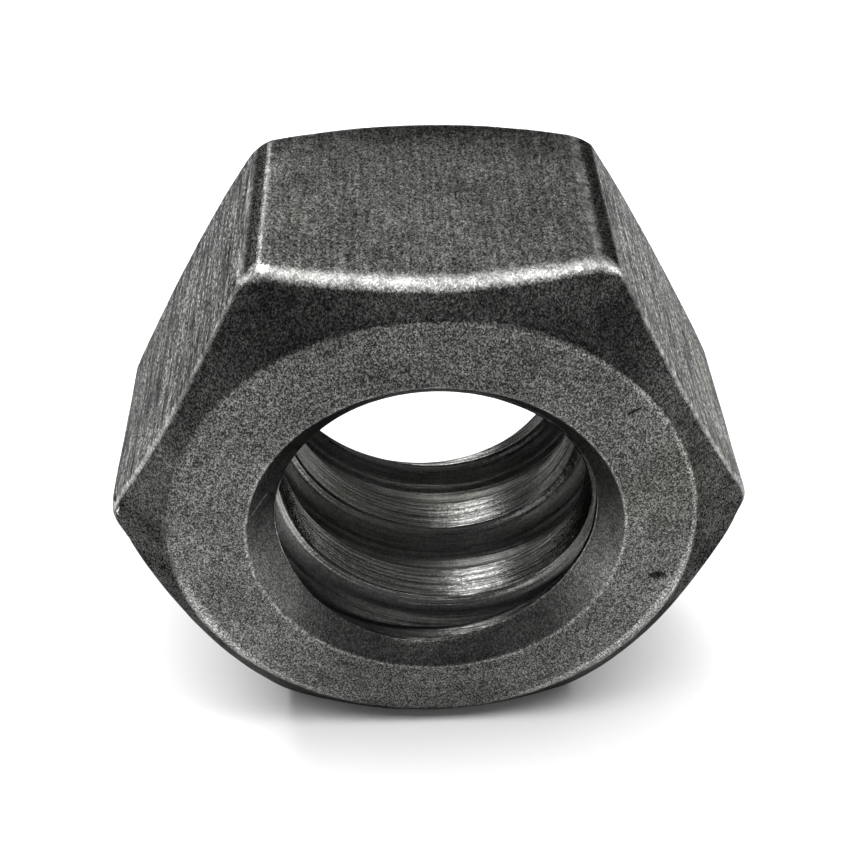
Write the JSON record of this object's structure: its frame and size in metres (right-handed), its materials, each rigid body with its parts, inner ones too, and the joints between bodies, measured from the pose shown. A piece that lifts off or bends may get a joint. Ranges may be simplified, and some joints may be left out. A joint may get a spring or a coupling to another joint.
{
  "type": "hex nut",
  "caption": "Thick plain steel hex nut, chamfered on both faces, with a coarse rounded right-hand thread that screws onto a coil rod and clamps against a plate or a waler.",
  "frame": {"origin": "middle of the bore, halfway between the two bearing faces", "axes": "+Y along the bore axis from the front bearing face to the back one, +Z square to the top flat, +X towards a corner"},
  "size_m": [0.0324, 0.0168, 0.0286],
  "materials": {
    "dark_steel": "plain, dark, lightly oiled, as drawn and machined"
  },
  "bodies": {
    "root": {"hex_nut": "dark_steel"}
  },
  "joints": []
}
